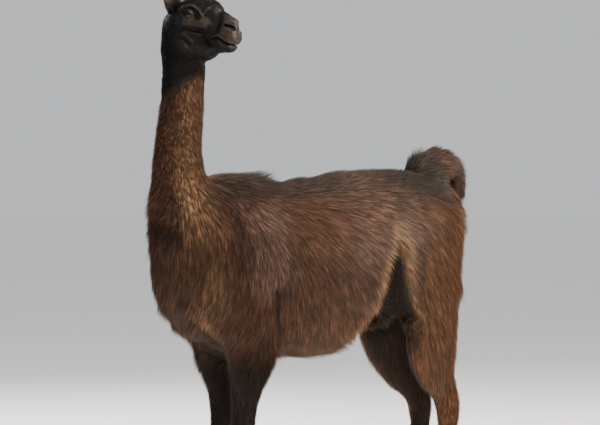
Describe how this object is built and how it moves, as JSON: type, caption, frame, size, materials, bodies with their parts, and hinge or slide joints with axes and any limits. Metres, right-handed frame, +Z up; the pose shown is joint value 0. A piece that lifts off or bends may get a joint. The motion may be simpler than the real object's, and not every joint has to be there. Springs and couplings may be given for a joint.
{
  "type": "llama",
  "caption": "Life-size still model of a standing, dark brown llama that looks back over its left shoulder, with its tail raised.",
  "frame": {"origin": "on the ground, under the middle of the bounding box", "axes": "+Z up, the llama's chest faces -Y and its left side is +X; its head is turned to +X"},
  "size_m": [0.4422, 1.1784, 1.8022],
  "materials": {
    "fleece": "soft, dark brown fleece with sun-bleached red-brown tips",
    "face_hair": "very short black hair over folded skin",
    "eye": "wet, very dark brown eye",
    "nail": "worn dark horn"
  },
  "bodies": {
    "root": {"trunk": "fleece", "neck": "fleece", "tail": "fleece", "head": "face_hair", "ear_left": "face_hair", "ear_right": "face_hair", "eye_left": "eye", "eye_right": "eye", "foreleg_left": "fleece", "foreleg_right": "fleece", "hindleg_left": "fleece", "hindleg_right": "fleece", "foot_front_left": "fleece", "foot_front_right": "fleece", "foot_hind_left": "fleece", "foot_hind_right": "fleece", "nail_front_left_inner": "nail", "nail_front_left_outer": "nail", "nail_front_right_inner": "nail", "nail_front_right_outer": "nail", "nail_hind_left_inner": "nail", "nail_hind_left_outer": "nail", "nail_hind_right_inner": "nail", "nail_hind_right_outer": "nail"}
  },
  "joints": []
}
